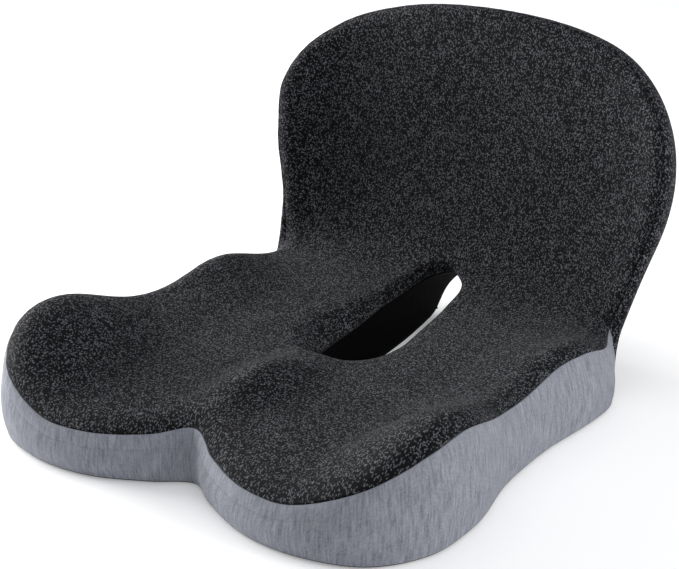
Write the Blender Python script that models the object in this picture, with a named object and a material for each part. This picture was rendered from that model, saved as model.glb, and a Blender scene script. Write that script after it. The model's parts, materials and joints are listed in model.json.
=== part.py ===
"""Seat cushion with a tailbone cut-out and a low wrap-round back: moulded foam in a zipped knit cover.

Units are metres. +Z is up, the front of the seat faces -Y, and the cushion is symmetric about X = 0.
The foam is described on its sewing pattern: x runs across it, and s runs from the front edge back
along the seat and then up the back. Every cover panel is a layer sewn over a region of that foam.
"""

import math

import bmesh
import bpy
import numpy as np
from mathutils import Vector

# Cover layers
FABRIC = 0.0020  # thickness of a cover panel
GAP = 0.0004  # clearance between touching pieces
SEAM_GAP = 0.0006  # how far a panel's border stops short of its seam
FOOT = FABRIC + GAP  # height of the foam's flat base above the floor

# Where the origin lies behind the front edge: under the middle of the whole cushion
MIDDLE_Y = 0.2405

# Centre-line sections: s, then the front face (y, z, share of wrap), then the outer face likewise.
SECTIONS = np.array(
    [
        (0.000, 0.000, 0.050, 0.00, 0.000, FOOT, 0.00),
        (0.250, 0.250, 0.050, 0.00, 0.252, FOOT, 0.00),
        (0.310, 0.310, 0.052, 0.00, 0.332, FOOT, 0.25),
        (0.345, 0.345, 0.055, 0.10, 0.388, FOOT, 1.20),
        (0.371, 0.370, 0.061, 0.35, 0.424, 0.006, 2.05),
        (0.394, 0.390, 0.071, 0.65, 0.443, 0.036, 2.30),
        (0.420, 0.408, 0.090, 0.90, 0.457, 0.068, 2.05),
        (0.448, 0.421, 0.115, 1.00, 0.467, 0.100, 1.60),
        (0.475, 0.430, 0.140, 1.00, 0.474, 0.128, 1.30),
        (0.505, 0.436, 0.170, 1.00, 0.480, 0.160, 1.15),
        (0.545, 0.439, 0.210, 1.00, 0.480, 0.203, 1.20),
        (0.585, 0.437, 0.250, 1.00, 0.470, 0.243, 1.30),
        (0.635, 0.430, 0.300, 1.00, 0.446, 0.289, 1.35),
    ]
)

# Right half of the pattern's outline, from the front centre to the rear centre. The cut-out is
# narrower under the seat than over it, and opens to the rear under the bend.
OUTLINE = [
    (0.000, 0.040),
    (0.030, 0.022),
    (0.075, 0.002),
    (0.125, 0.000),
    (0.171, 0.017),
    (0.197, 0.056),
    (0.200, 0.100),
    (0.186, 0.175),
    (0.183, 0.240),
    (0.186, 0.290),
    (0.181, 0.335),
    (0.171, 0.380),
    (0.179, 0.430),
    (0.195, 0.500),
    (0.192, 0.545),
    (0.176, 0.574),
    (0.148, 0.597),
    (0.086, 0.619),
    (0.000, 0.628),
]
CUT_OUT_FRONT = [
    (0.000, 0.203),
    (0.016, 0.206),
    (0.028, 0.220),
    (0.033, 0.245),
    (0.0315, 0.285),
    (0.028, 0.335),
    (0.017, 0.379),
    (0.000, 0.389),
]
CUT_OUT_OUTER = [
    (0.000, 0.204),
    (0.012, 0.207),
    (0.020, 0.222),
    (0.021, 0.255),
    (0.022, 0.295),
    (0.027, 0.325),
    (0.033, 0.348),
    (0.038, 0.368),
    (0.036, 0.385),
    (0.023, 0.398),
    (0.000, 0.403),
]

# The back wraps forward at its sides: flat as far as WRAP_START, then WRAP_DEPTH at WRAP_REACH
WRAP_START = 0.075
WRAP_REACH = 0.200
WRAP_DEPTH = 0.060
WRAP_POWER = 2.2

# The outer face is wider than the front face round the bend
SPREAD = 0.035
SPREAD_S = 0.355
SPREAD_LENGTH = 0.060

# Relief of the seat: side bolsters with a rise beside the hips, a centre ridge, the fall at the front
BOLSTER_START = 0.100
BOLSTER_WIDTH = 0.085
BOLSTER_LOW = 0.015
BOLSTER_PEAK = 0.024
BOLSTER_Y = 0.085
BOLSTER_LENGTH = 0.062
BOLSTER_FADE = 0.285
BOLSTER_FADE_LENGTH = 0.080
HIP_RISE = 0.007
HIP_Y = 0.262
HIP_LENGTH = 0.040
RIDGE_HEIGHT = 0.016
RIDGE_WIDTH = 0.024
RIDGE_Y = 0.115
RIDGE_LENGTH = 0.060
FRONT_FALL = 0.007
FRONT_REACH = 0.060

# Relief of the back: two pads with a valley between them
PAD_HEIGHT = 0.008
PAD_X = 0.095
PAD_WIDTH = 0.050
PAD_S = 0.530
PAD_LENGTH = 0.070

# Rounded edges of the foam: over the top, under the seat, behind the back, and round the cut-out
EDGE_RADIUS = 0.018
BASE_RADIUS = 0.003
BACK_RADIUS = 0.016
RIM_RADIUS = 0.010
SEAT_RIM_RADIUS = 0.022
RIM_CHANGE = (0.235, 0.345)  # where along the seat the rim's rounding tightens
MOST_ROUND = 0.45  # largest share of the thickness that one rounded edge takes
EDGE_STEPS = (19, 38, 56, 73, 90)
RIM_STEPS = (90, 66, 44, 22)  # angles of the rings round the rim
SEAM_STEP = 56  # how far round the edge the top panel reaches, in degrees
WALL_BULGE = 0.003

# The pattern's bend, over which the lower edge's radius and the wall's bulge change
BEND_START = 0.345
BEND_END = 0.420

# Mesh density: points round half the pattern and how they are spaced, and rings across each face
HALF_ROUND = 34
OUTLINE_SPACING = 0.6
CUT_OUT_SPACING = 1.5
FRONT_RINGS = 7
BASE_RINGS = 9

# Where the back flexes on the seat, where the rear panel meets the base panel, and where the grey
# side bands end on the pattern. ROOM is the reach of a cutter, past the whole cushion.
FLEX_Z = 0.115
BASE_EDGE_Z = 0.0065
BAND_END_S = 0.378
ROOM = 0.5

# Zip across the rear of the back. Its own frame: x along it, y out of the panel, z up the panel.
ZIP_S = 0.497
ZIP_LIFT = FOOT + 0.0007
ZIP_LENGTH = 0.200
TAPE_INNER = 0.0032
TAPE_OUTER = 0.0110
TAPE_THICK = 0.0008
COIL_INNER = 0.0002
COIL_OUTER = 0.0029
COIL_TOP = 0.0018
STOP_LENGTH = 0.0030
STOP_TOP = 0.0024
SLIDER_LENGTH = 0.0095
SLIDER_WIDTH = 0.0084
SLIDER_BOTTOM = 0.0011
SLIDER_TOP = 0.0031
CHANNEL_WIDTH = 0.0064
CHANNEL_TOP = 0.0022
BRIDGE_LENGTH = 0.0070
BRIDGE_WIDTH = 0.0022
BRIDGE_TOP = 0.0059
BRIDGE_HOLE_LENGTH = 0.0044
BRIDGE_HOLE_TOP = 0.0050
PULL_AXIS_Y = 0.00405
PULL_BAR = 0.0009
PULL_WIDTH = 0.0058
PULL_WINDOW_WIDTH = 0.0032
PULL_WINDOW_END = 0.0056
PULL_LENGTH = 0.0240

BLACK_KNIT = ("black_knit", (0.030, 0.031, 0.036), 0.92, 0.0)
GREY_KNIT = ("grey_knit", (0.330, 0.340, 0.390), 0.90, 0.0)
BASE_FABRIC = ("base_fabric", (0.020, 0.020, 0.022), 0.85, 0.0)
FOAM = ("foam", (0.780, 0.760, 0.700), 0.95, 0.0)
ZIP_NYLON = ("zip_nylon", (0.025, 0.025, 0.027), 0.60, 0.0)
ZIP_METAL = ("zip_metal", (0.300, 0.300, 0.310), 0.35, 1.0)


def clear_scene():
    for obj in list(bpy.data.objects):
        bpy.data.objects.remove(obj, do_unlink=True)


def new_collection(name):
    collection = bpy.data.collections.new(name)
    bpy.context.scene.collection.children.link(collection)
    return collection


def material(spec):
    name, color, roughness, metallic = spec
    found = bpy.data.materials.get(name)
    if found:
        return found
    made = bpy.data.materials.new(name)
    made.use_nodes = True
    shader = made.node_tree.nodes["Principled BSDF"]
    shader.inputs["Base Color"].default_value = (*color, 1.0)
    shader.inputs["Roughness"].default_value = roughness
    shader.inputs["Metallic"].default_value = metallic
    made.diffuse_color = (*color, 1.0)
    return made


def add_object(name, bm, collection, spec=None, smooth=True):
    """Turns a bmesh into a named object with its own material."""
    mesh = bpy.data.meshes.new(name)
    bm.to_mesh(mesh)
    bm.free()
    obj = bpy.data.objects.new(name, mesh)
    collection.objects.link(obj)
    if spec:
        mesh.materials.append(material(spec))
    if smooth:
        mesh.shade_smooth()
        mesh.set_sharp_from_angle(angle=math.radians(40))
    return obj


def smooth_step(value):
    value = np.clip(value, 0.0, 1.0)
    return value * value * (3.0 - 2.0 * value)


def smooth_table(knots, values, at):
    """Reads a smooth curve through the rows of a table at the given stations."""
    slopes = np.gradient(values, knots, axis=0)
    left = np.clip(np.searchsorted(knots, at) - 1, 0, len(knots) - 2)
    span = (knots[left + 1] - knots[left])[..., None]
    t = (at - knots[left])[..., None] / span
    return (
        (2 * t**3 - 3 * t**2 + 1) * values[left]
        + (t**3 - 2 * t**2 + t) * span * slopes[left]
        + (3 * t**2 - 2 * t**3) * values[left + 1]
        + (t**3 - t**2) * span * slopes[left + 1]
    )


def closed_outline(half_points, front_spacing):
    """The whole closed outline from its right half. The spacing at the front is relative to the
    mean, and grows or shrinks evenly towards the rear."""
    points = np.array(half_points)
    mirrored = points * [-1, 1]
    points = np.concatenate([mirrored[2:0:-1], points, mirrored[-2:-4:-1]])
    knots = np.concatenate([[0], np.cumsum(np.linalg.norm(np.diff(points, axis=0), axis=1))])
    first, last = knots[2], knots[-3]
    dense_at = np.linspace(first, last, 2000)
    dense = smooth_table(knots, points, dense_at)
    length = np.concatenate([[0], np.cumsum(np.linalg.norm(np.diff(dense, axis=0), axis=1))])
    share = np.arange(HALF_ROUND + 1) / HALF_ROUND
    share = share * (front_spacing + (1 - front_spacing) * share)
    half = np.stack([np.interp(share * length[-1], length, dense[:, i]) for i in (0, 1)], axis=1)
    half[0, 0] = 0.0
    half[-1, 0] = 0.0
    return np.concatenate([half, half[-2:0:-1] * [-1, 1]])


def outward_normals(loop):
    """Unit normals in the pattern's plane, pointing away from the loop's inside."""
    along = np.roll(loop, -1, axis=0) - np.roll(loop, 1, axis=0)
    normal = np.stack([along[:, 1], -along[:, 0]], axis=1)
    return normal / np.linalg.norm(normal, axis=1, keepdims=True)


def wrap(x):
    reach = np.clip((np.abs(x) - WRAP_START) / (WRAP_REACH - WRAP_START), 0.0, 1.3)
    return WRAP_DEPTH * reach**WRAP_POWER


def seat_relief(x, s):
    peak = BOLSTER_PEAK * np.exp(-(((s - BOLSTER_Y) / BOLSTER_LENGTH) ** 2))
    hip = HIP_RISE * np.exp(-(((s - HIP_Y) / HIP_LENGTH) ** 2))
    low = BOLSTER_LOW * (1.0 - smooth_step((s - BOLSTER_FADE) / BOLSTER_FADE_LENGTH))
    side = smooth_step((np.abs(x) - BOLSTER_START) / BOLSTER_WIDTH)
    bolster = (low + peak + hip) * side
    ridge = RIDGE_HEIGHT * np.exp(-((x / RIDGE_WIDTH) ** 2) - ((s - RIDGE_Y) / RIDGE_LENGTH) ** 2)
    fall = FRONT_FALL * (1.0 - smooth_step(s / FRONT_REACH))
    return bolster + ridge - fall


def back_relief(x, s):
    across = np.exp(-(((np.abs(x) - PAD_X) / PAD_WIDTH) ** 2))
    return PAD_HEIGHT * across * np.exp(-(((s - PAD_S) / PAD_LENGTH) ** 2))


def faces_at(pattern):
    """The front and outer face points over each pattern point."""
    x, s = pattern[..., 0], pattern[..., 1]
    row = smooth_table(SECTIONS[:, 0], SECTIONS[:, 1:], s)
    shift = wrap(x)
    front_y = row[..., 0] - row[..., 2] * shift - back_relief(x, s) - MIDDLE_Y
    front_z = row[..., 1] + seat_relief(x, s)
    outer_y = row[..., 3] - row[..., 5] * shift - MIDDLE_Y
    outer_z = np.maximum(row[..., 4], FOOT)
    outer_x = x * (1.0 + SPREAD * np.exp(-(((s - SPREAD_S) / SPREAD_LENGTH) ** 2)))
    front = np.stack([x, front_y, front_z], axis=-1)
    return front, np.stack([outer_x, outer_y, outer_z], axis=-1)


def under_front(pattern, depth):
    """Points at a depth under the front face, on the way to the outer face."""
    front, outer = faces_at(pattern)
    way = outer - front
    return front + way / np.linalg.norm(way, axis=-1, keepdims=True) * depth


def over_outer(pattern, depth):
    """Points at a depth above the outer face, on the way to the front face."""
    front, outer = faces_at(pattern)
    way = front - outer
    return outer + way / np.linalg.norm(way, axis=-1, keepdims=True) * depth


def rim_radius(hole):
    """Radius of the cut-out's rim at each point: soft in the seat, tighter towards the back."""
    change = smooth_step((hole[:, 1:] - RIM_CHANGE[0]) / (RIM_CHANGE[1] - RIM_CHANGE[0]))
    return SEAT_RIM_RADIUS + (RIM_RADIUS - SEAT_RIM_RADIUS) * change


def foam_rings():
    """Closed rings of points round the foam's surface, and the index at which each region starts."""
    outline = closed_outline(OUTLINE, OUTLINE_SPACING)
    hole = closed_outline(CUT_OUT_FRONT, CUT_OUT_SPACING)
    exit_hole = closed_outline(CUT_OUT_OUTER, CUT_OUT_SPACING)
    out, into = outward_normals(outline), outward_normals(hole)
    rim = rim_radius(hole)
    front, outer = faces_at(outline)
    thick = np.linalg.norm(outer - front, axis=1, keepdims=True)
    on_back = smooth_step((outline[:, 1:] - BEND_START) / (BEND_END - BEND_START))
    edge = np.minimum(EDGE_RADIUS, MOST_ROUND * thick)
    base = np.minimum(BASE_RADIUS + (BACK_RADIUS - BASE_RADIUS) * on_back, MOST_ROUND * thick)
    rings = []
    starts = {"front": 0}

    # The front face, from the cut-out's rim to the rounded edge, and over that edge
    inner, outer = hole + into * rim, outline - out * edge
    for share in np.linspace(0.0, 1.0, FRONT_RINGS):
        rings.append(under_front(inner + (outer - inner) * share, 0.0))
    for degrees in EDGE_STEPS:
        angle = math.radians(degrees)
        if degrees == SEAM_STEP:
            starts["seam"] = len(rings)
        pattern = outline - out * edge * (1 - math.sin(angle))
        rings.append(under_front(pattern, edge * (1 - math.cos(angle))))

    # Down the wall, and round its lower or rear edge
    bottom = over_outer(outline, base)
    middle = (rings[-1] + bottom) / 2
    middle[:, :2] += out * WALL_BULGE * (1 - on_back)
    rings.append(middle)
    rings.append(bottom)
    starts["hem"] = len(rings)
    angle = math.radians(45)
    pattern = outline - out * base * (1 - math.sin(angle))
    rings.append(over_outer(pattern, base * (1 - math.cos(angle))))

    # The outer face, back to the cut-out, and up the cut-out's wall
    outer = outline - out * base
    starts["base"] = len(rings)
    for share in np.linspace(1.0, 0.0, BASE_RINGS):
        rings.append(over_outer(exit_hole + (outer - exit_hole) * share, 0.0))
    starts["tunnel"] = len(rings) - 1
    for degrees in RIM_STEPS:
        angle = math.radians(degrees)
        outset = rim * (1 - math.sin(angle))
        rings.append(under_front(hole + into * outset, rim * (1 - math.cos(angle))))
        if degrees == 90:
            starts["rim"] = len(rings) - 1
    return rings, starts, outline


def add_cell(bm, corners, turned):
    """Two triangles over one cell of the grid. Both halves of the cushion split it the same way."""
    a, b, c, d = corners
    if turned:
        bm.faces.new((a, b, d))
        bm.faces.new((b, c, d))
    else:
        bm.faces.new((a, b, c))
        bm.faces.new((a, c, d))


def torus_mesh(rings):
    """One closed mesh through all the rings, whose last ring joins the first."""
    bm = bmesh.new()
    grid = [[bm.verts.new(point) for point in ring] for ring in rings]
    around = len(grid[0])
    for j, ring in enumerate(grid):
        following = grid[(j + 1) % len(grid)]
        for k in range(around):
            k2 = (k + 1) % around
            add_cell(bm, (ring[k], following[k], following[k2], ring[k2]), 2 * k < around)
    bm.normal_update()
    return bm, grid


def cover_surface(rings, normals, patches):
    """The part of the foam's surface that a panel covers, and the direction it is thickened in at
    each point. A patch is a run of rings and a run of points round them."""
    around = len(rings[0])
    bm = bmesh.new()
    verts = {}
    outwards = {}

    def vert(j, k):
        key = (j % len(rings), k % around)
        if key not in verts:
            verts[key] = bm.verts.new(rings[key[0]][key[1]])
            outwards[verts[key]] = Vector(normals[key[0]][key[1]])
        return verts[key]

    for first, last, start, end in patches:
        for j in range(first, last):
            for k in range(start, end):
                corners = (vert(j, k), vert(j + 1, k), vert(j + 1, k + 1), vert(j, k + 1))
                add_cell(bm, corners, 2 * (k % around) < around)
    return bm, outwards


def trim_border(bm):
    """Draws a surface's border inwards, so that it keeps its gap to the panel sewn to it."""
    moves = {}
    for vert in bm.verts:
        if not vert.is_boundary:
            continue
        inner = [edge for edge in vert.link_edges if not edge.is_boundary]
        if inner:
            edge = min(inner, key=lambda edge: edge.calc_length())
            aim, reach = edge.other_vert(vert).co, SEAM_GAP
        else:
            aim, reach = vert.link_faces[0].calc_center_median(), 2 * SEAM_GAP
        moves[vert] = (aim - vert.co).normalized() * reach
    for vert, move in moves.items():
        vert.co += move


def thickened(surface, outwards):
    """The closed shell over a surface. Solidify would turn each panel by its own faces alone, and
    neighbours would then overlap at a seam that turns inwards, so all share the foam's normals."""
    bm = bmesh.new()
    low, high = {}, {}
    for vert in surface.verts:
        low[vert] = bm.verts.new(vert.co + outwards[vert] * GAP)
        high[vert] = bm.verts.new(vert.co + outwards[vert] * (GAP + FABRIC))
    for face in surface.faces:
        bm.faces.new([high[vert] for vert in face.verts])
        bm.faces.new([low[vert] for vert in reversed(face.verts)])
    for edge in surface.edges:
        if edge.is_boundary:
            start = edge.link_loops[0].vert
            end = edge.other_vert(start)
            bm.faces.new((high[end], high[start], low[start]))
            bm.faces.new((high[end], low[start], low[end]))
    surface.free()
    return bm


def box_mesh(low, high):
    """A box between two corners."""
    bm = bmesh.new()
    bmesh.ops.create_cube(bm, size=1.0)
    size = [b - a for a, b in zip(low, high)]
    centre = [(a + b) / 2 for a, b in zip(low, high)]
    bmesh.ops.scale(bm, vec=size, verts=bm.verts)
    bmesh.ops.translate(bm, vec=centre, verts=bm.verts)
    return bm


def bevel_all(bm, width, segments=2):
    bmesh.ops.bevel(
        bm, geom=bm.edges[:], offset=width, segments=segments, profile=0.5, affect="EDGES"
    )


def add_cutter(name, low, high, collection, parent=None):
    cutter = add_object(name, box_mesh(low, high), collection, smooth=False)
    cutter.hide_render = True
    cutter.display_type = "WIRE"
    cutter.parent = parent
    return cutter


def add_boolean(obj, cutter, operation="DIFFERENCE"):
    boolean = obj.modifiers.new(cutter.name, "BOOLEAN")
    boolean.operation = operation
    boolean.object = cutter


def level_cutters(cutters):
    """Boxes that remove what is above or below a level, each stopping short of it by the gap."""
    made = {}
    for name, level in (("flex", FLEX_Z), ("base_edge", BASE_EDGE_Z)):
        above = ((-ROOM, -ROOM, level - GAP), (ROOM, ROOM, ROOM))
        below = ((-ROOM, -ROOM, -ROOM), (ROOM, ROOM, level + GAP))
        made["above_" + name] = add_cutter("above_" + name, *above, cutters)
        made["below_" + name] = add_cutter("below_" + name, *below, cutters)
    return made


def build_foam(rings, parts, levels):
    """The moulded foam, as two bodies that meet where the back flexes on the seat."""
    for name, level in (("seat_foam", "above_flex"), ("back_foam", "below_flex")):
        bm, _ = torus_mesh(rings)
        foam = add_object(name, bm, parts, FOAM)
        add_boolean(foam, levels[level])


def build_cover(rings, starts, outline, parts, levels):
    """The knit panels, the base panel and the tunnel's lining, each over its own part of the foam."""
    around = len(outline)
    bm, grid = torus_mesh(rings)
    normals = [np.array([vert.normal for vert in ring]) for ring in grid]
    bm.free()
    half = around // 2
    band_end = int(np.argmin(np.abs(outline[:half, 1] - BAND_END_S)))
    seam, hem, base = starts["seam"], starts["hem"], starts["base"]
    tunnel, rim = starts["tunnel"], starts["rim"]
    front = [(rim - len(rings), seam, 0, around)]
    right = [(seam, hem, 0, band_end)]
    left = [(seam, hem, around - band_end, around)]
    rear = [(seam, base, band_end, around - band_end), (base, tunnel, 0, around)]
    underside = [(hem, tunnel, 0, around)]
    lining = [(tunnel, rim, 0, around)]
    for name, patches, spec, cuts in (
        ("seat_top_panel", front, BLACK_KNIT, ["above_flex"]),
        ("back_front_panel", front, BLACK_KNIT, ["below_flex"]),
        ("side_band_right", right, GREY_KNIT, []),
        ("side_band_left", left, GREY_KNIT, []),
        ("rear_lower_panel", rear, BLACK_KNIT, ["below_base_edge", "above_flex"]),
        ("back_rear_panel", rear, BLACK_KNIT, ["below_flex"]),
        ("base_panel", underside, BASE_FABRIC, ["above_base_edge"]),
        ("tunnel_liner", lining, BLACK_KNIT, []),
    ):
        surface, outwards = cover_surface(rings, normals, patches)
        trim_border(surface)
        panel = add_object(name, thickened(surface, outwards), parts, spec)
        for cut in cuts:
            add_boolean(panel, levels[cut])


def zip_frame(collection):
    """An empty on the rear panel, turned to lie flat on it."""
    near = np.array([(0.0, ZIP_S - 0.005), (0.0, ZIP_S), (0.0, ZIP_S + 0.005)])
    outer = faces_at(near)[1]
    up = outer[2] - outer[0]
    tilt = math.atan2(up[1], up[2])
    empty = bpy.data.objects.new("zip_frame", None)
    collection.objects.link(empty)
    normal = Vector((0.0, math.cos(tilt), -math.sin(tilt)))
    empty.location = Vector(outer[1]) + normal * ZIP_LIFT
    empty.rotation_euler = (-tilt, 0.0, 0.0)
    return empty


def build_zip(parts, cutters):
    frame = zip_frame(parts)
    half = ZIP_LENGTH / 2
    for name, side in (("upper", 1), ("lower", -1)):
        z_low, z_high = sorted((side * TAPE_INNER, side * TAPE_OUTER))
        tape = box_mesh((-half, 0.0, z_low), (half, TAPE_THICK, z_high))
        add_object("zip_tape_" + name, tape, parts, ZIP_NYLON).parent = frame
        z_low, z_high = sorted((side * COIL_INNER, side * COIL_OUTER))
        inner = half - STOP_LENGTH - GAP
        coil = box_mesh((-inner, GAP, z_low), (inner, COIL_TOP, z_high))
        bevel_all(coil, 0.0005)
        add_object("zip_coil_" + name, coil, parts, ZIP_NYLON).parent = frame
    for name, x in (("left", -half), ("right", half - STOP_LENGTH)):
        stop = box_mesh((x, GAP, -COIL_OUTER), (x + STOP_LENGTH, STOP_TOP, COIL_OUTER))
        bevel_all(stop, 0.0005)
        add_object("zip_stop_" + name, stop, parts, ZIP_METAL).parent = frame
    slider = build_slider(parts, cutters, frame)
    build_pull(parts, cutters, slider)


def build_slider(parts, cutters, frame):
    """The slider at the closed end of its travel: a channel over the coils, and a bridge on top."""
    long, wide = SLIDER_LENGTH / 2, SLIDER_WIDTH / 2
    bm = box_mesh((-long, SLIDER_BOTTOM, -wide), (long, SLIDER_TOP, wide))
    bevel_all(bm, 0.0004)
    slider = add_object("zip_slider", bm, parts, ZIP_METAL)
    slider.parent = frame
    slider.location = (-ZIP_LENGTH / 2 + STOP_LENGTH + 0.001 + long, 0.0, 0.0)
    long, wide = BRIDGE_LENGTH / 2, BRIDGE_WIDTH / 2
    bridge = add_cutter(
        "bridge", (-long, SLIDER_TOP - 0.0005, -wide), (long, BRIDGE_TOP, wide), cutters, slider
    )
    long = BRIDGE_HOLE_LENGTH / 2
    eye = add_cutter(
        "bridge_eye", (-long, SLIDER_TOP, -0.01), (long, BRIDGE_HOLE_TOP, 0.01), cutters, slider
    )
    wide = CHANNEL_WIDTH / 2
    channel = add_cutter(
        "slider_channel", (-0.01, 0.0, -wide), (0.01, CHANNEL_TOP, wide), cutters, slider
    )
    add_boolean(slider, bridge, "UNION")
    add_boolean(slider, eye)
    add_boolean(slider, channel)
    return slider


def build_pull(parts, cutters, slider):
    """The pull tab, whose origin is on the crossbar that it swings on."""
    bar, wide = PULL_BAR / 2, PULL_WIDTH / 2
    bm = box_mesh((-bar, -bar, -wide), (PULL_LENGTH, bar, wide))
    bevel_all(bm, 0.0002, segments=1)
    pull = add_object("zip_pull", bm, parts, ZIP_METAL)
    pull.parent = slider
    pull.location = (0.0, PULL_AXIS_Y, 0.0)
    wide = PULL_WINDOW_WIDTH / 2
    window = add_cutter(
        "pull_window", (bar, -0.01, -wide), (PULL_WINDOW_END, 0.01, wide), cutters, pull
    )
    add_boolean(pull, window)


def main():
    clear_scene()
    parts = new_collection("seat_cushion")
    cutters = new_collection("cutters")
    levels = level_cutters(cutters)
    rings, starts, outline = foam_rings()
    build_foam(rings, parts, levels)
    build_cover(rings, starts, outline, parts, levels)
    build_zip(parts, cutters)


main()
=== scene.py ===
"""Looks of the seat cushion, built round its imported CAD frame: cover, seams, zip and base grip.

Units are metres, +Z is up and the front faces -Y. The cover is laid over the foam's own pattern, in
which x runs across the cushion and s runs from the front edge back along the seat and up the back.
"""

import json
import math
from collections import Counter

import bmesh
import bpy
import numpy as np
from mathutils import Euler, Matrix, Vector
from mathutils.kdtree import KDTree

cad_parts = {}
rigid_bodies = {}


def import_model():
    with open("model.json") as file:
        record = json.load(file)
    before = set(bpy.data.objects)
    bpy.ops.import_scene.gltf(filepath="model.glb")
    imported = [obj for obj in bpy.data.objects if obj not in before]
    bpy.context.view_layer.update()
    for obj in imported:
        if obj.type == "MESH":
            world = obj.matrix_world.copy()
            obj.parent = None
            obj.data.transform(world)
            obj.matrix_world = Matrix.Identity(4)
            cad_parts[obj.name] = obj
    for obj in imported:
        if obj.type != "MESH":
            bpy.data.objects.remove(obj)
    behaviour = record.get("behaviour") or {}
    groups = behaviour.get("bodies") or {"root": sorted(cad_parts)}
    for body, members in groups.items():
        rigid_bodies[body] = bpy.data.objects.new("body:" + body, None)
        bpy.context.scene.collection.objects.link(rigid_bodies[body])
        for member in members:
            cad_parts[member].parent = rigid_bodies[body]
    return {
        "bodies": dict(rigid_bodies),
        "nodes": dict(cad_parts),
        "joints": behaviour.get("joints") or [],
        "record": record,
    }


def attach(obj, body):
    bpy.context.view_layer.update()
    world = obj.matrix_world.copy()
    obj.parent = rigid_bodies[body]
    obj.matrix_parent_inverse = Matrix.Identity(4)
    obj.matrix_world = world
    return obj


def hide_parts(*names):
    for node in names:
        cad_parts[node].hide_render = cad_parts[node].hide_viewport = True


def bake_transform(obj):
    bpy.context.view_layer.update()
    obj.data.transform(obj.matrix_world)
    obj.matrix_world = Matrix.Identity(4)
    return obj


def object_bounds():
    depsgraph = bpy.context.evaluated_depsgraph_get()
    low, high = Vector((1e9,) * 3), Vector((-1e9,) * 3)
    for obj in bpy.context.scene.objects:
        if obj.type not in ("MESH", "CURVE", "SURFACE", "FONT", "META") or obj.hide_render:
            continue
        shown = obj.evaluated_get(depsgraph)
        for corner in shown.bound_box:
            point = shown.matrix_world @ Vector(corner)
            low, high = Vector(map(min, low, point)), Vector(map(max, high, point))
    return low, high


# The foam's pattern, as the CAD has it
FABRIC = 0.0020
GAP = 0.0004
FOOT = FABRIC + GAP
MIDDLE_Y = 0.2405
SECTIONS = np.array(
    [
        (0.000, 0.000, 0.050, 0.00, 0.000, FOOT, 0.00),
        (0.250, 0.250, 0.050, 0.00, 0.252, FOOT, 0.00),
        (0.310, 0.310, 0.052, 0.00, 0.332, FOOT, 0.25),
        (0.345, 0.345, 0.055, 0.10, 0.388, FOOT, 1.20),
        (0.371, 0.370, 0.061, 0.35, 0.424, 0.006, 2.05),
        (0.394, 0.390, 0.071, 0.65, 0.443, 0.036, 2.30),
        (0.420, 0.408, 0.090, 0.90, 0.457, 0.068, 2.05),
        (0.448, 0.421, 0.115, 1.00, 0.467, 0.100, 1.60),
        (0.475, 0.430, 0.140, 1.00, 0.474, 0.128, 1.30),
        (0.505, 0.436, 0.170, 1.00, 0.480, 0.160, 1.15),
        (0.545, 0.439, 0.210, 1.00, 0.480, 0.203, 1.20),
        (0.585, 0.437, 0.250, 1.00, 0.470, 0.243, 1.30),
        (0.635, 0.430, 0.300, 1.00, 0.446, 0.289, 1.35),
    ]
)
OUTLINE = [
    (0.000, 0.040),
    (0.030, 0.022),
    (0.075, 0.002),
    (0.125, 0.000),
    (0.171, 0.017),
    (0.197, 0.056),
    (0.200, 0.100),
    (0.186, 0.175),
    (0.183, 0.240),
    (0.186, 0.290),
    (0.181, 0.335),
    (0.171, 0.380),
    (0.179, 0.430),
    (0.195, 0.500),
    (0.192, 0.545),
    (0.176, 0.574),
    (0.148, 0.597),
    (0.086, 0.619),
    (0.000, 0.628),
]
CUT_OUT_FRONT = [
    (0.000, 0.203),
    (0.016, 0.206),
    (0.028, 0.220),
    (0.033, 0.245),
    (0.0315, 0.285),
    (0.028, 0.335),
    (0.017, 0.379),
    (0.000, 0.389),
]
CUT_OUT_OUTER = [
    (0.000, 0.204),
    (0.012, 0.207),
    (0.020, 0.222),
    (0.021, 0.255),
    (0.022, 0.295),
    (0.027, 0.325),
    (0.033, 0.348),
    (0.038, 0.368),
    (0.036, 0.385),
    (0.023, 0.398),
    (0.000, 0.403),
]
OUTLINE_SPACING = 0.6
CUT_OUT_SPACING = 1.5
WRAP_START = 0.075
WRAP_REACH = 0.200
WRAP_DEPTH = 0.060
WRAP_POWER = 2.2
SPREAD = 0.035
SPREAD_S = 0.355
SPREAD_LENGTH = 0.060
BOLSTER_START = 0.100
BOLSTER_WIDTH = 0.085
BOLSTER_LOW = 0.015
BOLSTER_PEAK = 0.024
BOLSTER_Y = 0.085
BOLSTER_LENGTH = 0.062
BOLSTER_FADE = 0.285
BOLSTER_FADE_LENGTH = 0.080
HIP_RISE = 0.007
HIP_Y = 0.262
HIP_LENGTH = 0.040
RIDGE_HEIGHT = 0.016
RIDGE_WIDTH = 0.024
RIDGE_Y = 0.115
RIDGE_LENGTH = 0.060
FRONT_FALL = 0.007
FRONT_REACH = 0.060
PAD_HEIGHT = 0.008
PAD_X = 0.095
PAD_WIDTH = 0.050
PAD_S = 0.530
PAD_LENGTH = 0.070
EDGE_RADIUS = 0.018
BASE_RADIUS = 0.003
BACK_RADIUS = 0.016
RIM_RADIUS = 0.010
SEAT_RIM_RADIUS = 0.022
RIM_CHANGE = (0.235, 0.345)  # where along the seat the rim's rounding tightens
MOST_ROUND = 0.45
SEAM_STEP = 56
WALL_BULGE = 0.003
BEND_START = 0.345
BEND_END = 0.420
BASE_EDGE_Z = 0.0065
BAND_END_S = 0.378

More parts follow.
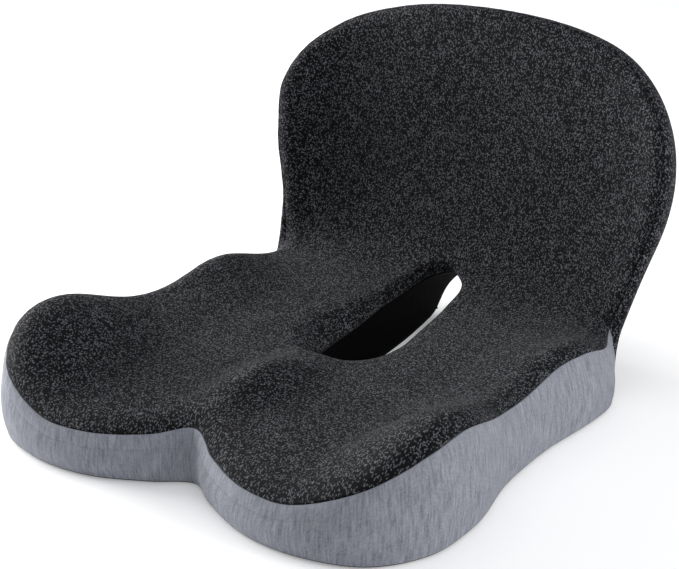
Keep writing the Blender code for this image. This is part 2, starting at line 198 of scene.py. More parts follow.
# How finely the cover is laid over that pattern
HALF_POINTS = 230
FRONT_ROWS = 60
WALL_ROWS = 22
OUTER_ROWS = 64
TUNNEL_ROWS = 18
SEAM_STEPS = (0.0002, 0.0005, 0.0009, 0.0015, 0.0024, 0.0038)  # of the rows beside a seam
OUTLINE_STEPS = 4000
RIM_ANGLES = range(84, 3, -6)
HEM_ANGLE = 45
HEM_ANGLES = (12, 24, 33, 38, 41, 43, 44, 45, 46, 47, 49, 52, 57, 66, 78)

# Seams: how wide a panel's edge rolls down, how low it ends, and the lowest that any panel may lie
ROLL = 0.0016
TIGHT_ROLL = 0.0009
LOW = 0.0003
LOWEST_Z = 0.0003
SHARP_ANGLE = math.radians(50)

# The soft dip along the back's seam, and the puckers beside every seam
DIP_DEPTH = 0.0022
DIP_WIDTH = 0.0060
DIP_GROWTH = 0.03
PUCKER = 0.00022
PUCKER_REACH = 0.006
PUCKER_WAVE = 0.016
PUCKER_DRIFT = 0.071
DRIFT_SHARE = 2.1

# Radii of the folded edge over the bands, the notch seam and the piping round the base's rear
WELT_RADIUS = 0.00045
WELT_SINK = 0.0004
NOTCH_RADIUS = 0.0006
PIPING_RADIUS = 0.0012
CUT_TOLERANCE = 1e-5
SHORTEST_RUN = 8

# Cloth simulation of the padding
VOXEL = 0.005
PRESSURE = 4.0
CLOTH_QUALITY = 5
FRAMES = 20
MOST_SWELL = 0.0035
SWELL_SHARE = 0.7
SMOOTHINGS = 6
PINNED = 0.010  # distance from a seam up to which the padding is held
FREE = 0.035  # and beyond which it is free
SURFACE_STEP = 3  # of the grid's points, how many to one that is searched
INSET = 0.0035  # how far the simulated foam is drawn in, so that the cover hides it

# Zip on the rear panel: its middle, and the directions up the panel and out of it
ZIP_MIDDLE = np.array([0.0, 0.241377, 0.150925])
ZIP_ALONG = np.array([1, 0, 0])
ZIP_UP = np.array([0.0, 0.161973, 0.986795])
ZIP_OUT = np.array([0.0, 0.986795, -0.161973])
ZIP_LENGTH = 0.200
COIL_PITCH = 0.0019
COIL_RADIUS = 0.0009
COIL_WIRE = 0.00032
COIL_MIDDLE = 0.00155  # of one coil, beside the zip's middle
COIL_SWING = 0.00135
TURN_POINTS = 12
STITCH_OFFSETS = (0.0052, 0.0098)
STITCH_PITCH = 0.003
STITCH_POINTS = 401
STITCH_LIFT = 0.0006
STITCH_WAVE = 0.00028
THREAD_RADIUS = 0.00018

# Grip dots on the flat part of the base
DOT_PITCH = 0.013
DOT_ROW = 0.866  # distance between rows, as a share of the pitch
DOT_RADIUS = 0.0021
DOT_TIP = 0.7
DOT_SIDES = 10
DOT_HEIGHT = 0.0007
DOT_LIFT = 0.0001
DOT_REACH = 0.42
DOT_COLUMNS = 18
EDGE_MARGIN = 0.012
HOLE_MARGIN = 0.010
BASE_FLAT_END = 0.085

# Stitches, across and along
BLACK_STITCH = (0.0008, 0.0010)
GREY_STITCH = (0.0012, 0.0010)
STITCH_SLANT = 0.9
STITCH_ROUND = 0.6
THREADS = 1100.0  # of the base fabric, to a metre

# Colours of the zip's yarn, its stitching and the grip dots
YARN_DARK = (0.008, 0.008, 0.009, 1)
YARN_LIGHT = (0.045, 0.045, 0.048, 1)
THREAD_DARK = (0.012, 0.012, 0.014, 1)
THREAD_LIGHT = (0.070, 0.070, 0.075, 1)
RUBBER_DARK = (0.012, 0.012, 0.013, 1)
RUBBER_LIGHT = (0.040, 0.040, 0.042, 1)

# Studio light, in watts, and the strengths of the surroundings and of the floor's own light
LEFT_LIGHT = 88.0
RIGHT_LIGHT = 25.0
TOP_LIGHT = 18.0
WORLD_LIGHT = 0.38
FLOOR_LIGHT = 0.28

# Camera: how far round and how high it stands, aimed a little beside the middle of the cushion
AZIMUTH = math.radians(35.88)
ELEVATION = math.radians(20.91)
DISTANCE = 1.2788
AIM_RIGHT = -0.0117
AIM_UP = -0.0469
LENS = 84.83
SENSOR = 36.0


# The pattern


def smooth_step(value):
    value = np.clip(value, 0.0, 1.0)
    return value * value * (3.0 - 2.0 * value)


def smooth_table(knots, values, at):
    """Reads a smooth curve through the rows of a table at the given stations."""
    slopes = np.gradient(values, knots, axis=0)
    left = np.clip(np.searchsorted(knots, at) - 1, 0, len(knots) - 2)
    span = (knots[left + 1] - knots[left])[..., None]
    t = (at - knots[left])[..., None] / span
    return (
        (2 * t**3 - 3 * t**2 + 1) * values[left]
        + (t**3 - 2 * t**2 + t) * span * slopes[left]
        + (3 * t**2 - 2 * t**3) * values[left + 1]
        + (t**3 - t**2) * span * slopes[left + 1]
    )


def dense_half(half_points):
    """Many points along the right half of an outline, and the length up to each."""
    points = np.array(half_points)
    mirrored = points * [-1, 1]
    points = np.concatenate([mirrored[2:0:-1], points, mirrored[-2:-4:-1]])
    knots = np.concatenate([[0], np.cumsum(np.linalg.norm(np.diff(points, axis=0), axis=1))])
    dense = smooth_table(knots, points, np.linspace(knots[2], knots[-3], OUTLINE_STEPS))
    length = np.concatenate([[0], np.cumsum(np.linalg.norm(np.diff(dense, axis=0), axis=1))])
    return dense, length


def closed_outline(half_points, front_spacing, shares):
    """The closed outline at the given shares of its right half, spaced as in the CAD."""
    dense, length = dense_half(half_points)
    at = shares * (front_spacing + (1 - front_spacing) * shares) * length[-1]
    half = np.stack([np.interp(at, length, dense[:, i]) for i in (0, 1)], axis=1)
    half[0, 0] = 0.0
    half[-1, 0] = 0.0
    return np.concatenate([half, half[-2:0:-1] * [-1, 1]])


def half_shares():
    """Shares round half the pattern, closer together beside the notch seam and the band's end."""
    dense, length = dense_half(OUTLINE)
    end_at = length[np.argmax((dense[:, 1] > BAND_END_S) & (dense[:, 0] > 0.1))] / length[-1]
    a, b = 1 - OUTLINE_SPACING, OUTLINE_SPACING
    end = (-b + math.sqrt(b * b + 4 * a * end_at)) / (2 * a)
    rate = (b + 2 * a * end) * length[-1]
    beside = np.array(SEAM_STEPS)
    shares = np.linspace(0, 1, HALF_POINTS)
    shares = shares[(shares > beside[-1] / (b * length[-1])) | (shares == 0)]
    shares = shares[np.abs(shares - end) > beside[-1] / rate]
    near_notch = beside / (b * length[-1])
    near_end = end + np.concatenate([-beside, [0], beside]) / rate
    shares = np.sort(np.concatenate([shares, near_notch, near_end]))
    return shares, int(np.argmin(np.abs(shares - end)))


def outward_normals(loop):
    along = np.roll(loop, -1, axis=0) - np.roll(loop, 1, axis=0)
    normal = np.stack([along[:, 1], -along[:, 0]], axis=1)
    return normal / np.linalg.norm(normal, axis=1, keepdims=True)


def wrap(x):
    reach = np.clip((np.abs(x) - WRAP_START) / (WRAP_REACH - WRAP_START), 0.0, 1.3)
    return WRAP_DEPTH * reach**WRAP_POWER


def seat_relief(x, s):
    peak = BOLSTER_PEAK * np.exp(-(((s - BOLSTER_Y) / BOLSTER_LENGTH) ** 2))
    hip = HIP_RISE * np.exp(-(((s - HIP_Y) / HIP_LENGTH) ** 2))
    low = BOLSTER_LOW * (1.0 - smooth_step((s - BOLSTER_FADE) / BOLSTER_FADE_LENGTH))
    side = smooth_step((np.abs(x) - BOLSTER_START) / BOLSTER_WIDTH)
    bolster = (low + peak + hip) * side
    ridge = RIDGE_HEIGHT * np.exp(-((x / RIDGE_WIDTH) ** 2) - ((s - RIDGE_Y) / RIDGE_LENGTH) ** 2)
    fall = FRONT_FALL * (1.0 - smooth_step(s / FRONT_REACH))
    return bolster + ridge - fall


def back_relief(x, s):
    across = np.exp(-(((np.abs(x) - PAD_X) / PAD_WIDTH) ** 2))
    return PAD_HEIGHT * across * np.exp(-(((s - PAD_S) / PAD_LENGTH) ** 2))


def faces_at(pattern):
    """The front and outer face points over each pattern point."""
    x, s = pattern[..., 0], pattern[..., 1]
    row = smooth_table(SECTIONS[:, 0], SECTIONS[:, 1:], s)
    shift = wrap(x)
    front_y = row[..., 0] - row[..., 2] * shift - back_relief(x, s) - MIDDLE_Y
    front_z = row[..., 1] + seat_relief(x, s)
    outer_y = row[..., 3] - row[..., 5] * shift - MIDDLE_Y
    outer_z = np.maximum(row[..., 4], FOOT)
    outer_x = x * (1.0 + SPREAD * np.exp(-(((s - SPREAD_S) / SPREAD_LENGTH) ** 2)))
    front = np.stack([x, front_y, front_z], axis=-1)
    return front, np.stack([outer_x, outer_y, outer_z], axis=-1)


def under_front(pattern, depth):
    front, outer = faces_at(pattern)
    way = outer - front
    return front + way / np.linalg.norm(way, axis=-1, keepdims=True) * depth


def over_outer(pattern, depth):
    front, outer = faces_at(pattern)
    way = front - outer
    return outer + way / np.linalg.norm(way, axis=-1, keepdims=True) * depth


def rim_radius(hole):
    """Radius of the cut-out's rim at each point: soft in the seat, tighter towards the back."""
    change = smooth_step((hole[:, 1:] - RIM_CHANGE[0]) / (RIM_CHANGE[1] - RIM_CHANGE[0]))
    return SEAT_RIM_RADIUS + (RIM_RADIUS - SEAT_RIM_RADIUS) * change


def edge_angles():
    """Angles round the top edge, closer together beside the seam."""
    beside = np.degrees(np.array(SEAM_STEPS) / EDGE_RADIUS)
    near = SEAM_STEP + np.concatenate([-beside, [0], beside])
    plain = np.arange(5, 91, 5)
    plain = plain[np.abs(plain - SEAM_STEP) > beside[-1] + 1]
    return np.sort(np.concatenate([plain, near]))


def cover_grid():
    """The foam's whole surface as a grid: points, flat pattern, and where each region starts."""
    shares, band_end = half_shares()
    outline = closed_outline(OUTLINE, OUTLINE_SPACING, shares)
    hole = closed_outline(CUT_OUT_FRONT, CUT_OUT_SPACING, shares)
    exit_hole = closed_outline(CUT_OUT_OUTER, CUT_OUT_SPACING, shares)
    out, into = outward_normals(outline), outward_normals(hole)
    front, outer = faces_at(outline)
    thick = np.linalg.norm(outer - front, axis=1, keepdims=True)
    on_back = smooth_step((outline[:, 1:] - BEND_START) / (BEND_END - BEND_START))
    edge = np.minimum(EDGE_RADIUS, MOST_ROUND * thick)
    base = np.minimum(BASE_RADIUS + (BACK_RADIUS - BASE_RADIUS) * on_back, MOST_ROUND * thick)
    rows, flat, starts = [], [], {"front": 0, "band_end": band_end}

    rounding = rim_radius(hole)
    inner, rim = hole + into * rounding, outline - out * edge
    for share in np.linspace(0.0, 1.0, FRONT_ROWS):
        rows.append(under_front(inner + (rim - inner) * share, 0.0))
        flat.append(inner + (rim - inner) * share)
    for degrees in edge_angles():
        angle = math.radians(degrees)
        if degrees == SEAM_STEP:
            starts["seam"] = len(rows)
        pattern = outline - out * edge * (1 - math.sin(angle))
        rows.append(under_front(pattern, edge * (1 - math.cos(angle))))
        flat.append(rim + out * edge * angle)
    wall_top, wall_bottom, edge_flat = rows[-1], over_outer(outline, base), flat[-1]
    for share in np.linspace(0.0, 1.0, WALL_ROWS)[1:]:
        point = wall_top + (wall_bottom - wall_top) * share
        bulge = WALL_BULGE * 4 * share * (1 - share) * (1 - on_back[:, 0])
        point[:, :2] += out * bulge[:, None]
        rows.append(point)
        flat.append(edge_flat + out * thick * share)
    wall_flat = flat[-1]
    for degrees in HEM_ANGLES:
        angle = math.radians(degrees)
        if degrees == HEM_ANGLE:
            starts["hem"] = len(rows)
        pattern = outline - out * base * (1 - math.cos(angle))
        rows.append(over_outer(pattern, base * (1 - math.sin(angle))))
        flat.append(wall_flat + out * base * angle)

    base_rim = outline - out * base
    starts["base"] = len(rows)
    for share in np.linspace(1.0, 0.0, OUTER_ROWS):
        pattern = exit_hole + (base_rim - exit_hole) * share
        rows.append(over_outer(pattern, 0.0))
        flat.append(pattern)
    starts["tunnel"] = len(rows) - 1
    tunnel_low, tunnel_high = rows[-1], under_front(hole, rounding)
    for share in np.linspace(0.0, 1.0, TUNNEL_ROWS)[1:]:
        rows.append(tunnel_low + (tunnel_high - tunnel_low) * share)
        flat.append(flat[-1] - into * 0.004)
    starts["rim"] = len(rows) - 1
    for degrees in RIM_ANGLES:
        angle = math.radians(degrees)
        pattern = hole + into * rounding * (1 - math.sin(angle))
        rows.append(under_front(pattern, rounding * (1 - math.cos(angle))))
        flat.append(hole + into * rounding * (1 - angle))
    return np.array(rows), np.array(flat), outline, starts


def grid_normals(points):
    """Unit normals of a grid closed both ways, facing out of the foam."""
    down = np.roll(points, -1, axis=0) - np.roll(points, 1, axis=0)
    along = np.roll(points, -1, axis=1) - np.roll(points, 1, axis=1)
    normal = np.cross(down, along)
    return normal / np.maximum(np.linalg.norm(normal, axis=2, keepdims=True), 1e-12)


class Cover:
    """The foam's fine surface, its normals, how far the padding swells, and distances to seams."""

    def __init__(self):
        self.points, self.flat, self.outline, self.starts = cover_grid()
        self.normals = grid_normals(self.points)
        self.rows, self.around = self.points.shape[:2]
        step = np.linalg.norm(np.diff(self.points, axis=0), axis=2)
        zeros = np.zeros((1, self.around))
        self.down = np.concatenate([zeros, np.cumsum(step, axis=0)])
        ahead = np.linalg.norm(np.roll(self.points, -1, axis=1) - self.points, axis=2)
        self.along = np.concatenate([np.zeros((self.rows, 1)), np.cumsum(ahead, axis=1)], axis=1)
        self.swell = np.zeros((self.rows, self.around))

    def from_row(self, row):
        """Distance of each point from a row, measured down the surface."""
        return np.abs(self.down - self.down[row])

    def from_column(self, column):
        """Distance of each point from a column, measured along the rows, the shorter way round."""
        here, total = self.along[:, :-1], self.along[:, -1:]
        apart = np.abs(here - here[:, column % self.around][:, None])
        return np.minimum(apart, total - apart)


def quarter_roll(distance, radius):
    """How far below its face a panel's rolled edge lies, at a distance from its border."""
    share = np.clip(1.0 - distance / radius, 0.0, 1.0)
    return radius * (1.0 - np.sqrt(1.0 - share**2))


# Meshes


def new_object(name, mesh):
    obj = bpy.data.objects.new(name, mesh)
    bpy.context.scene.collection.objects.link(obj)
    return obj


def face_mesh(name, points, faces, uv=None):
    """A smooth mesh with the pattern as its UV map. Corners turned sharply stay sharp."""
    mesh = bpy.data.meshes.new(name)
    mesh.from_pydata(points.tolist(), [], faces.tolist())
    if uv is not None:
        uv_map = mesh.uv_layers.new(name="pattern")
        uv_map.data.foreach_set("uv", uv.astype(np.float32).reshape(-1))
    mesh.shade_smooth()
    mesh.set_sharp_from_angle(angle=SHARP_ANGLE)
    mesh.update()
    return mesh


def region(cover, *patches):
    """The cells of the cover's grid in some patches, each a run of rows and a run of columns."""
    mask = np.zeros((cover.rows, cover.around), bool)
    for first, last, start, end in patches:
        rows = np.arange(first, last) % cover.rows
        columns = np.arange(start, end) % cover.around
        mask[np.ix_(rows, columns)] = True
    return mask


def grid_faces(cover, mask):
    """The masked cells of the cover's grid, as faces."""
    across = cover.around
    j, k = np.nonzero(mask)
    j2, k2 = (j + 1) % cover.rows, (k + 1) % across
    return np.stack([j * across + k, j2 * across + k, j2 * across + k2, j * across + k2], axis=1)


def panel(cover, name, mask, heights, flat):
    """A panel over some cells of the cover's grid, turned down to the foam round its border."""
    j, k = np.nonzero(mask)
    j2 = (j + 1) % cover.rows
    quads = grid_faces(cover, mask)
    if flat.shape[1] == cover.around:
        flat = np.concatenate([flat, flat[:, :1]], axis=1)
    uv = np.stack([flat[j, k], flat[j2, k], flat[j2, k + 1], flat[j, k + 1]], axis=1)

    a, b = quads.reshape(-1), np.roll(quads, -1, axis=1).reshape(-1)
    a_uv, b_uv = uv.reshape(-1, 2), np.roll(uv, -1, axis=1).reshape(-1, 2)
    size = cover.rows * cover.around
    border = ~np.isin(a * size + b, b * size + a)
    a, b, a_uv, b_uv = a[border], b[border], a_uv[border], b_uv[border]
    skirt = np.stack([b, a, a + size, b + size], axis=1)
    skirt_uv = np.stack([b_uv, a_uv, a_uv, b_uv], axis=1)

    high = cover.points + cover.normals * (heights + cover.swell)[..., None]
    low = cover.points + cover.normals * (LOW + cover.swell)[..., None]
    points = np.concatenate([high.reshape(-1, 3), low.reshape(-1, 3)])
    points[:, 2] = np.maximum(points[:, 2], LOWEST_Z)
    used, index = np.unique(np.concatenate([quads, skirt]), return_inverse=True)
    uv = np.concatenate([uv, skirt_uv])
    return new_object(name, face_mesh(name, points[used], index.reshape(-1, 4), uv))


def tube(name, points, radius):
    """A curve object with a round section through the points."""
    curve = bpy.data.curves.new(name, "CURVE")
    curve.dimensions = "3D"
    curve.bevel_depth = radius
    curve.bevel_resolution = 1
    curve.use_fill_caps = True
    spline = curve.splines.new("POLY")
    spline.points.add(len(points) - 1)
    spline.points.foreach_set("co", np.c_[points, np.ones(len(points))].reshape(-1))
    return new_object(name, curve)


def bisect(obj, level, keep_above):
    """Cuts a panel off at a height."""
    bm = bmesh.new()
    bm.from_mesh(obj.data)
    bmesh.ops.bisect_plane(
        bm,
        geom=bm.verts[:] + bm.edges[:] + bm.faces[:],
        plane_co=(0, 0, level),
        plane_no=(0, 0, 1),
        clear_inner=keep_above,
        clear_outer=not keep_above,
    )
    bm.to_mesh(obj.data)
    bm.free()
    obj.data.shade_smooth()


def cut_lines(obj, level):
    """The runs of points where a panel was cut off at a height."""
    mesh = obj.data
    on_cut = {v.index for v in mesh.vertices if abs(v.co.z - level) < CUT_TOLERANCE}
    faces_at_edge = Counter(key for polygon in mesh.polygons for key in polygon.edge_keys)
    links = {}
    for (a, b), count in faces_at_edge.items():
        if count == 1 and a in on_cut and b in on_cut:
            links.setdefault(a, []).append(b)
            links.setdefault(b, []).append(a)
    runs, seen = [], set()
    starts = sorted(v for v, ends in links.items() if len(ends) == 1) + sorted(links)
    for start in starts:
        if start in seen:
            continue
        run, here = [], start
        while here is not None:
            seen.add(here)
            run.append(tuple(mesh.vertices[here].co))
            here = next((v for v in links[here] if v not in seen), None)
        if len(run) > SHORTEST_RUN:
            runs.append(np.array(run))
    return runs


# Padding


def foam_mesh(cover):
    """The foam's whole surface as one closed mesh."""
    quads = grid_faces(cover, region(cover, (0, cover.rows, 0, cover.around)))
    return face_mesh("foam_body", cover.points.reshape(-1, 3), quads)


def bake(obj):
    """Replaces an object's mesh by what its modifiers make of it."""
    graph = bpy.context.evaluated_depsgraph_get()
    mesh = bpy.data.meshes.new_from_object(obj.evaluated_get(graph))
    obj.modifiers.clear()
    obj.data = mesh


def vertex_array(mesh, field="co"):
    values = np.empty(len(mesh.vertices) * 3, np.float32)
    mesh.vertices.foreach_get(field, values)
    return values.reshape(-1, 3).astype(float)


def tree_of(points):
    tree = KDTree(len(points))
    for i, point in enumerate(points):
        tree.insert(point, i)
    tree.balance()
    return tree


def pin_weights(cover, points):
    """1 beside the seams and over the base and rear, where the cover can't rise, and 0 far off."""
    starts = cover.starts
    notch = cover.points[starts["seam"] : starts["hem"], 0]
    seams = [cover.points[starts[name]] for name in ("seam", "hem", "rim")]
    seam_tree = tree_of(np.concatenate(seams + [notch]))
    surface = cover.points[::SURFACE_STEP, ::SURFACE_STEP]
    row_of = np.repeat(np.arange(0, cover.rows, SURFACE_STEP), surface.shape[1])
    surface_tree = tree_of(surface.reshape(-1, 3))
    weights = np.zeros(len(points))
    for i, point in enumerate(points):
        near = seam_tree.find(point)[2]
        weights[i] = 1.0 - smooth_step((near - PINNED) / (FREE - PINNED))
        row = row_of[surface_tree.find(point)[1]]
        if starts["hem"] - 2 <= row <= starts["rim"]:
            weights[i] = 1.0
    return weights


def pressed_out(obj, rest, normal, weights):
    """Presses the padding out as a pinned cloth, and gives the rise of each of its points."""
    pinned = obj.vertex_groups.new(name="pinned")
    for i, weight in enumerate(weights):
        pinned.add([i], float(weight), "REPLACE")
    cloth = obj.modifiers.new("cloth", "CLOTH")
    cloth.settings.vertex_group_mass = "pinned"
    cloth.settings.quality = CLOTH_QUALITY
    cloth.settings.use_pressure = True
    cloth.settings.uniform_pressure_force = PRESSURE
    cloth.settings.effector_weights.gravity = 0.0
    cloth.collision_settings.use_collision = False
    cloth.collision_settings.use_self_collision = False
    cloth.point_cache.frame_start = 1
    cloth.point_cache.frame_end = FRAMES
    for frame in range(1, FRAMES + 1):
        bpy.context.scene.frame_set(frame)
    bake(obj)
    bpy.context.scene.frame_set(1)
    moved = np.einsum("ij,ij->i", vertex_array(obj.data) - rest, normal)
    rise = SWELL_SHARE * MOST_SWELL * np.tanh(moved / MOST_SWELL)
    return smoothed(obj.data, rise, SMOOTHINGS) * (1.0 - weights)


def inflate(cover):
    """The foam under its stretched cover: a cloth pressed outwards between the seams. The rise is
    kept for the panels, and the cloth itself, a little inside them, stands for the foam."""
    obj = new_object("foam_body", foam_mesh(cover))
    remesh = obj.modifiers.new("remesh", "REMESH")
    remesh.mode = "VOXEL"
    remesh.voxel_size = VOXEL
    bake(obj)
    rest, normal = vertex_array(obj.data), vertex_array(obj.data, "normal")
    rise = np.zeros(len(rest))
    rise = pressed_out(obj, rest, normal, pin_weights(cover, rest))
    cover.swell += carried(rest, rise, cover)
    places = rest + normal * (rise - INSET)[:, None]
    obj.data.vertices.foreach_set("co", places.astype(np.float32).reshape(-1))
    obj.data.update()
    finer = obj.modifiers.new("finer", "SUBSURF")
    finer.levels = finer.render_levels = 1
    bake(obj)
    obj.data.shade_smooth()
    return obj


def smoothed(mesh, values, times):
    """Values at the vertices, each averaged with its neighbours' a few times."""
    edges = np.empty(len(mesh.edges) * 2, np.int32)
    mesh.edges.foreach_get("vertices", edges)
    a, b = edges.reshape(-1, 2).T
    count = np.bincount(a, minlength=len(values)) + np.bincount(b, minlength=len(values))
    for _ in range(times):
        total = np.bincount(a, values[b], len(values)) + np.bincount(b, values[a], len(values))
        values = 0.5 * values + 0.5 * total / np.maximum(count, 1)
    return values


def carried(rest, rise, cover):
    """The rise of the simulated mesh, read off at the points of the cover's grid."""
    tree = tree_of(rest)
    found = np.zeros(cover.rows * cover.around)
    for i, point in enumerate(cover.points.reshape(-1, 3)):
        near = tree.find_n(point, 5)
        share = [1.0 / (distance + 0.001) ** 2 for _, _, distance in near]
        found[i] = sum(w * rise[n] for w, (_, n, _) in zip(share, near)) / sum(share)
    return found.reshape(cover.rows, cover.around)


# Materials


class Nodes:
    """Short forms for building a material's node tree."""

    def __init__(self, name):
        self.material = bpy.data.materials.new(name)
        self.material.use_nodes = True
        self.tree = self.material.node_tree
        self.tree.nodes.clear()
        output = self.tree.nodes.new("ShaderNodeOutputMaterial")
        self.shader = self.tree.nodes.new("ShaderNodeBsdfPrincipled")
        self.tree.links.new(self.shader.outputs[0], output.inputs["Surface"])

    def add(self, kind, inputs=None, **settings):
        node = self.tree.nodes.new(kind)
        for name, value in settings.items():
            setattr(node, name, value)
        for name, value in (inputs or {}).items():
            self.put(node.inputs[name], value)
        return node

    def put(self, socket, value):
        if isinstance(value, bpy.types.NodeSocket):
            self.tree.links.new(value, socket)
        else:
            socket.default_value = value

    def math(self, operation, a, b=0.0):
        return self.add("ShaderNodeMath", {0: a, 1: b}, operation=operation).outputs[0]

    def scaled(self, vector, scale):
        inputs = {0: vector, 1: scale}
        return self.add("ShaderNodeVectorMath", inputs, operation="MULTIPLY").outputs[0]

    def mix(self, share, a, b):
        node = self.add("ShaderNodeMix", data_type="RGBA")
        self.put(node.inputs[0], share)
        self.put(node.inputs[6], a)
        self.put(node.inputs[7], b)
        return node.outputs[2]

    def ramp(self, value, low, high):
        inputs = {0: value, 1: low, 2: high, 3: 0.0, 4: 1.0}
        return self.add("ShaderNodeMapRange", inputs, clamp=True).outputs[0]

    def noise(self, vector, scale, detail=2.0, roughness=0.5):
        inputs = {"Vector": vector, "Scale": scale, "Detail": detail, "Roughness": roughness}
        return self.add("ShaderNodeTexNoise", inputs).outputs["Fac"]

    def own_number(self, vector):
        """A random number, the same wherever the vector is the same."""
        inputs = {"Vector": vector}
        return self.add("ShaderNodeTexWhiteNoise", inputs, noise_dimensions="3D").outputs["Value"]

    def pattern(self):
        return self.add("ShaderNodeUVMap", uv_map="pattern").outputs[0]

    def place(self):
        return self.add("ShaderNodeTexCoord").outputs["Object"]

    def finish(self, colour, roughness, height, distance, sheen=0.0, shine=0.5, metallic=0.0):
        bump = self.add("ShaderNodeBump", {"Strength": 1.0, "Distance": distance, "Height": height})
        self.put(self.shader.inputs["Base Color"], colour)
        self.put(self.shader.inputs["Roughness"], roughness)
        self.put(self.shader.inputs["Metallic"], metallic)
        self.put(self.shader.inputs["Normal"], bump.outputs[0])
        self.put(self.shader.inputs["Sheen Weight"], sheen)
        self.put(self.shader.inputs["Sheen Roughness"], 0.45)
        self.put(self.shader.inputs["Specular IOR Level"], shine)
        return self.material


def knit_cells(nodes, width, height):
    """The stitches of a knit over the pattern: a number of its own for each, and its V relief."""
    uv = nodes.pattern()
    parts = nodes.add("ShaderNodeSeparateXYZ", {0: nodes.scaled(uv, (1 / width, 1 / height, 0))})
    u, v = parts.outputs[0], parts.outputs[1]
    side = nodes.math("ABSOLUTE", nodes.math("SUBTRACT", nodes.math("FRACT", u), 0.5))
    slanted = nodes.math("ADD", v, nodes.math("MULTIPLY", side, STITCH_SLANT))
    corner = {0: nodes.math("FLOOR", u), 1: nodes.math("FLOOR", slanted)}
    own = nodes.own_number(nodes.add("ShaderNodeCombineXYZ", corner).outputs[0])
    half = nodes.math("FRACT", nodes.math("MULTIPLY", u, 2.0))
    along = nodes.math("SINE", nodes.math("MULTIPLY", nodes.math("FRACT", slanted), math.pi))
    across = nodes.math("SINE", nodes.math("MULTIPLY", half, math.pi))
    along = nodes.math("POWER", along, STITCH_ROUND)
    across = nodes.math("POWER", across, STITCH_ROUND)
    return uv, own, nodes.math("MULTIPLY", along, across)


def solid_cells(nodes, width, height):
    """Stitches for the rear, where the flat pattern is too stretched: cells of the place itself."""
    place = nodes.place()
    scaled = nodes.scaled(place, (1 / width, 1 / width, 1 / height))
    inputs = {"Vector": scaled, "Scale": 1.0, "Randomness": 0.6}
    near = nodes.add("ShaderNodeTexVoronoi", inputs)
    own = nodes.own_number(near.outputs["Position"])
    return place, own, nodes.math("SUBTRACT", 1.0, near.outputs["Distance"])


def black_knit(name, cells):
    """Black melange knit: dark stitches with a share of pale ones among them, and painted shade in
    the hollows between the stitches.
    """
    nodes = Nodes(name)
    uv, own, relief = cells(nodes, *BLACK_STITCH)
    speck = nodes.noise(uv, 700.0, 2.0, 0.6)
    cloudy = nodes.noise(uv, 45.0, 3.0, 0.6)
    pale = nodes.ramp(nodes.math("ADD", own, nodes.math("MULTIPLY", speck, 0.35)), 0.89, 1.06)
    shade = nodes.ramp(nodes.math("ADD", own, nodes.math("MULTIPLY", cloudy, 0.4)), 0.1, 1.3)
    dark = nodes.mix(shade, (0.0022, 0.0024, 0.0034, 1), (0.0085, 0.0090, 0.0116, 1))
    colour = nodes.mix(pale, dark, (0.170, 0.175, 0.194, 1))
    # Painted shade: the hollows between the stitches are mixed halfway towards near-black.
    hollow_shade = nodes.math("ADD", nodes.math("MULTIPLY", relief, 0.5), 0.5)
    colour = nodes.mix(hollow_shade, (0.004, 0.004, 0.005, 1), colour)
    roughness = nodes.math("ADD", 0.82, nodes.math("MULTIPLY", cloudy, 0.12))
    height = nodes.math("ADD", relief, nodes.math("MULTIPLY", cloudy, 0.5))
    return nodes.finish(colour, roughness, height, 0.00030, sheen=0.02, shine=0.12)


def shaded_lining_knit():
    """The black lining of the cut-out, without the pale stitches, painted far darker than the black
    knit as painted shade inside the tunnel.
    """
    nodes = Nodes("lining_weave_painted_shade")
    _, own, relief = knit_cells(nodes, *BLACK_STITCH)
    # Painted shade: the colour stays near-black, and is darkest in the hollows between the
    # stitches.
    shade = nodes.math("MULTIPLY", own, relief)
    colour = nodes.mix(shade, (0.0012, 0.0012, 0.0014, 1), (0.0060, 0.0060, 0.0068, 1))
    return nodes.finish(colour, 0.95, relief, 0.00025, shine=0.05)


def grey_knit():
    """Heathered grey knit, streaked down the band by its yarns, with painted shade in the hollows
    between the stitches.
    """
    nodes = Nodes("grey_knit_weave")
    uv, own, relief = knit_cells(nodes, *GREY_STITCH)
    yarn = nodes.noise(nodes.scaled(uv, (1.0, 0.10, 1.0)), 620.0, 2.0, 0.6)
    slub = nodes.noise(nodes.scaled(uv, (1.0, 0.22, 1.0)), 210.0, 2.0, 0.5)
    cloudy = nodes.noise(uv, 28.0, 3.0, 0.6)
    mixed = nodes.math("MULTIPLY", yarn, 0.62)
    for other, share in ((slub, 0.26), (own, 0.12)):
        mixed = nodes.math("ADD", mixed, nodes.math("MULTIPLY", other, share))
    shade = nodes.ramp(mixed, 0.30, 0.70)
    colour = nodes.mix(shade, (0.150, 0.158, 0.192, 1), (0.440, 0.455, 0.515, 1))
    patch = nodes.math("MULTIPLY", nodes.ramp(cloudy, 0.3, 0.75), 0.18)
    colour = nodes.mix(patch, colour, (0.300, 0.312, 0.350, 1))
    # Painted shade: the hollows between the stitches are mixed about a third of the way towards
    # dark grey.
    hollow_shade = nodes.math("ADD", nodes.math("MULTIPLY", relief, 0.35), 0.65)
    colour = nodes.mix(hollow_shade, (0.070, 0.074, 0.090, 1), colour)
    height = nodes.math("ADD", relief, nodes.math("MULTIPLY", yarn, 0.6))
    return nodes.finish(colour, 0.88, height, 0.00022, sheen=0.08, shine=0.25)


